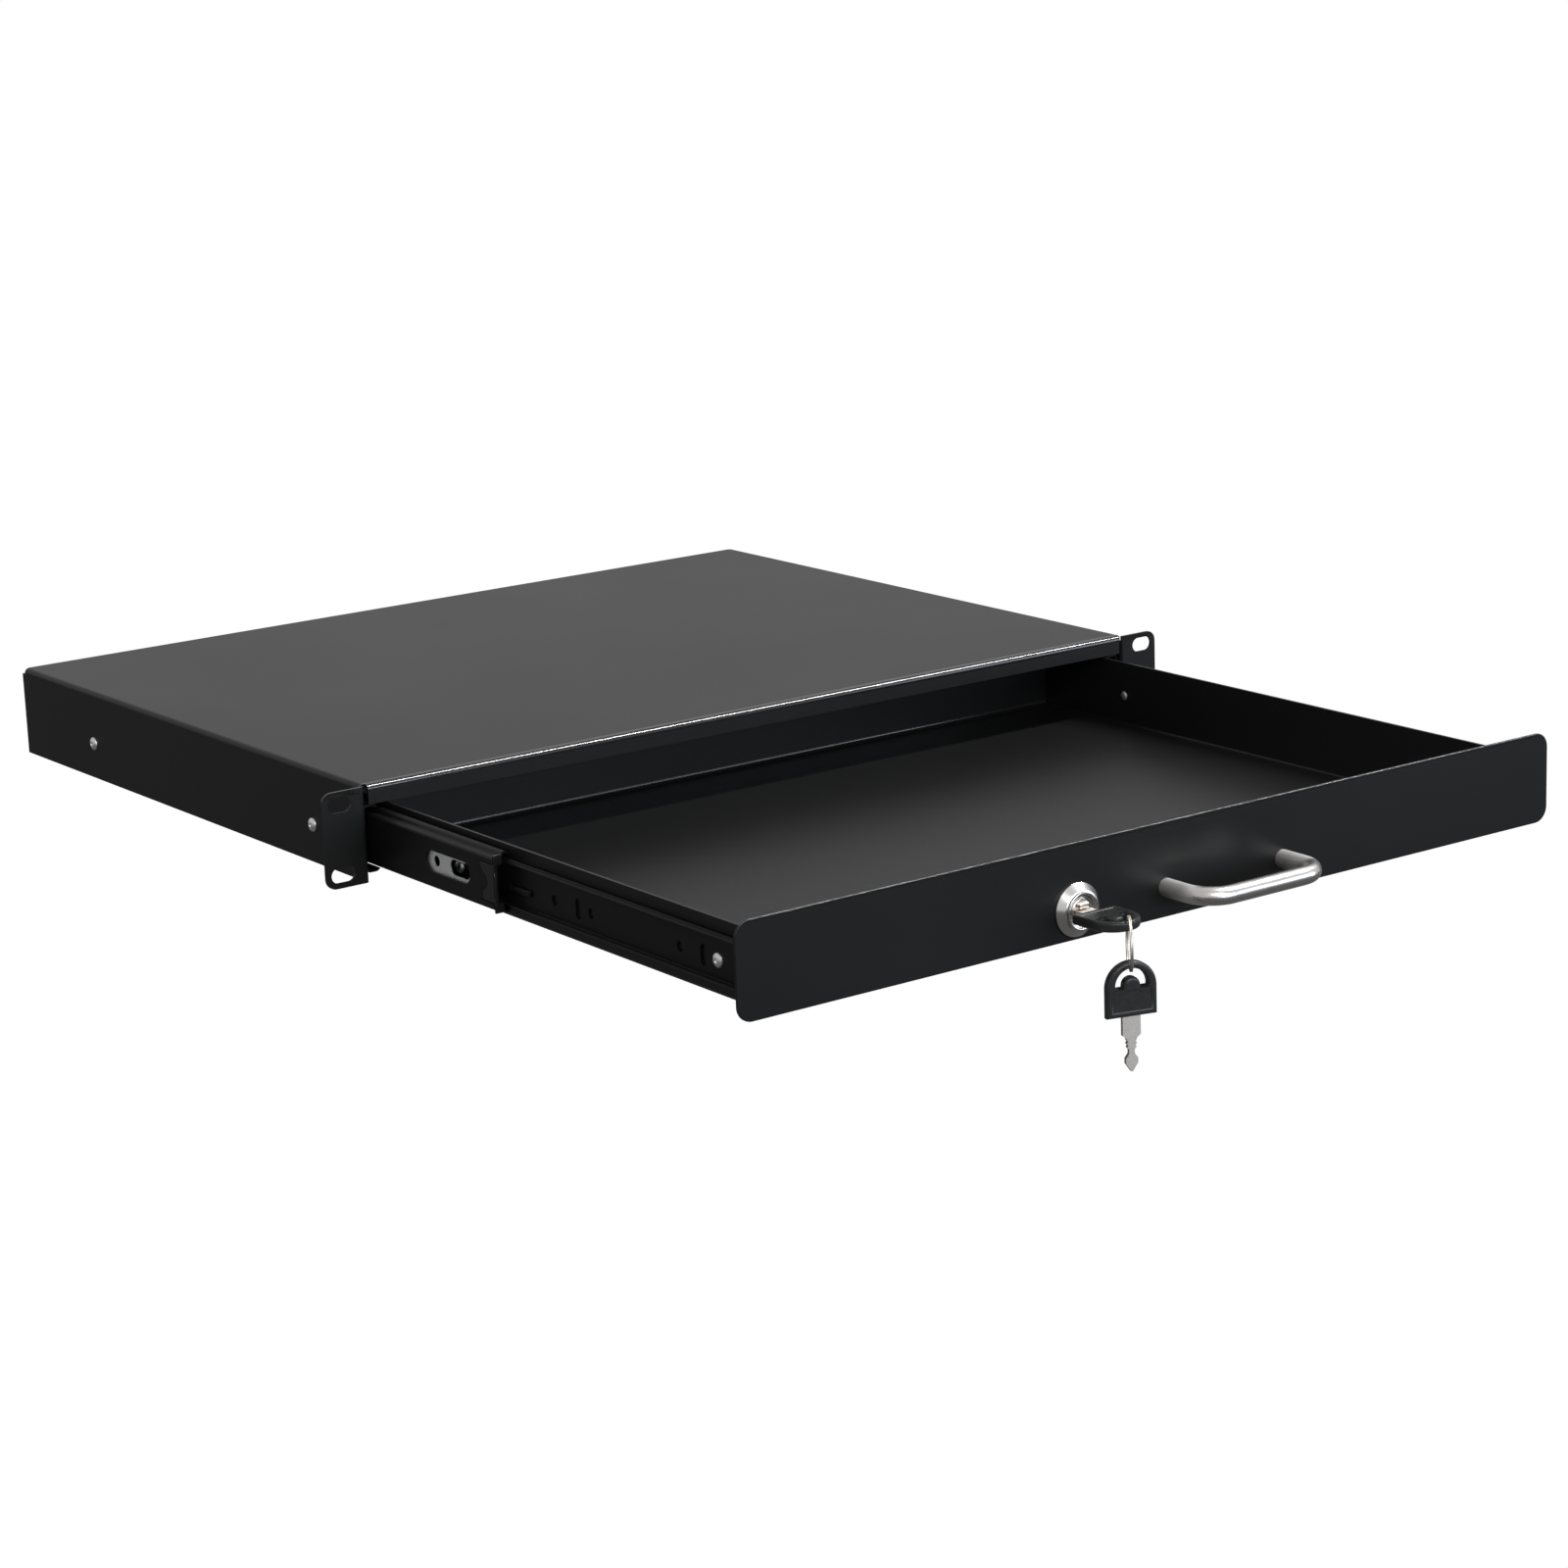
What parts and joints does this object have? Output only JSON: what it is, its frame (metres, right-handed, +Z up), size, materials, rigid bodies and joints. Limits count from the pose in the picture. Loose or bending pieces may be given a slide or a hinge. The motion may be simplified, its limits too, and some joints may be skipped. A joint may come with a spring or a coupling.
{
  "type": "sliding rack drawer",
  "caption": "Lockable 1U drawer for a 19-inch rack: folded steel casing with slotted ears, tray on ball-bearing slides, bow handle, cam lock and keys.",
  "frame": {"origin": "centre of the four ear slots, on the front face of the rack ears", "axes": "+X to the right seen from the front, +Y to the rear of the rack, +Z up"},
  "size_m": [0.4826, 0.6681, 0.0903],
  "materials": {
    "black_powder": "satin powder coat",
    "black_rail": "semi-gloss black coating on rolled steel",
    "zinc": "bright zinc plating",
    "stainless": "brushed stainless steel",
    "chrome": "polished chrome plating",
    "nickel": "nickel plating",
    "black_plastic": "moulded, fine texture",
    "bumper_plastic": "glossy moulded",
    "rivet_steel": "plain bright steel",
    "ball_steel": "ground and polished"
  },
  "bodies": {
    "casing": {"casing": "black_powder", "outer_rail_left": "black_rail", "outer_rail_right": "black_rail", "casing_rivets": "rivet_steel"},
    "drawer": {"drawer_tray": "black_powder", "front_panel": "black_powder", "inner_rail_left": "black_rail", "inner_rail_right": "black_rail", "tray_rivets": "rivet_steel", "stop_studs": "rivet_steel", "handle": "stainless", "handle_screws": "zinc", "lock_housing": "chrome", "lock_nut": "zinc"},
    "middle_left": {"middle_rail_left": "black_rail", "bumper_left": "bumper_plastic"},
    "outer_cage_left": {"outer_cage_left": "zinc", "outer_balls_left": "ball_steel"},
    "inner_cage_left": {"inner_cage_left": "zinc", "inner_balls_left": "ball_steel"},
    "middle_right": {"middle_rail_right": "black_rail", "bumper_right": "bumper_plastic"},
    "outer_cage_right": {"outer_cage_right": "zinc", "outer_balls_right": "ball_steel"},
    "inner_cage_right": {"inner_cage_right": "zinc", "inner_balls_right": "ball_steel"},
    "lock_plug": {"lock_plug": "nickel", "lock_cam": "zinc", "cam_washer": "zinc", "cam_screw": "zinc"},
    "key": {"key_blade": "nickel", "key_bow": "black_plastic"},
    "key_ring": {"key_ring": "nickel"},
    "spare_key": {"spare_key_blade": "nickel", "spare_key_bow": "black_plastic"}
  },
  "joints": [
    {"name": "drawer_slide", "type": "slide", "parent": "casing", "child": "drawer", "axis": [0, -1, 0], "range_m": [-0.2823, 0.0477]},
    {"name": "middle_slide_left", "type": "slide", "parent": "casing", "child": "middle_left", "axis": [0, -1, 0], "range_m": [-0.14115, 0.02385]},
    {"name": "outer_cage_slide_left", "type": "slide", "parent": "casing", "child": "outer_cage_left", "axis": [0, -1, 0], "range_m": [-0.07057, 0.01192]},
    {"name": "inner_cage_slide_left", "type": "slide", "parent": "casing", "child": "inner_cage_left", "axis": [0, -1, 0], "range_m": [-0.21172, 0.03578]},
    {"name": "middle_slide_right", "type": "slide", "parent": "casing", "child": "middle_right", "axis": [0, -1, 0], "range_m": [-0.14115, 0.02385]},
    {"name": "outer_cage_slide_right", "type": "slide", "parent": "casing", "child": "outer_cage_right", "axis": [0, -1, 0], "range_m": [-0.07057, 0.01192]},
    {"name": "inner_cage_slide_right", "type": "slide", "parent": "casing", "child": "inner_cage_right", "axis": [0, -1, 0], "range_m": [-0.21172, 0.03578]},
    {"name": "lock_turn", "type": "hinge", "parent": "drawer", "child": "lock_plug", "pos_m": [-0.0525, -0.284, -0.0077], "axis": [0, 1, 0], "range_deg": [0, 90]},
    {"name": "key_pull", "type": "slide", "parent": "lock_plug", "child": "key", "axis": [0, -1, 0], "range_m": [0, 0.03]},
    {"name": "ring_swing", "type": "hinge", "parent": "key", "child": "key_ring", "pos_m": [-0.04897, -0.31161, -0.0077], "axis": [-0.7986, 0.6018, 0], "range_deg": [0, 70]},
    {"name": "spare_key_swing", "type": "hinge", "parent": "key_ring", "child": "spare_key", "pos_m": [-0.05418, -0.31854, -0.02547], "axis": [-0.2756, -0.9613, 0], "range_deg": [-20, 20]}
  ],
  "couplings": [
    {"joint": "middle_slide_left", "follows": "drawer_slide", "ratio": 0.5},
    {"joint": "outer_cage_slide_left", "follows": "drawer_slide", "ratio": 0.25},
    {"joint": "inner_cage_slide_left", "follows": "drawer_slide", "ratio": 0.75},
    {"joint": "middle_slide_right", "follows": "drawer_slide", "ratio": 0.5},
    {"joint": "outer_cage_slide_right", "follows": "drawer_slide", "ratio": 0.25},
    {"joint": "inner_cage_slide_right", "follows": "drawer_slide", "ratio": 0.75}
  ]
}
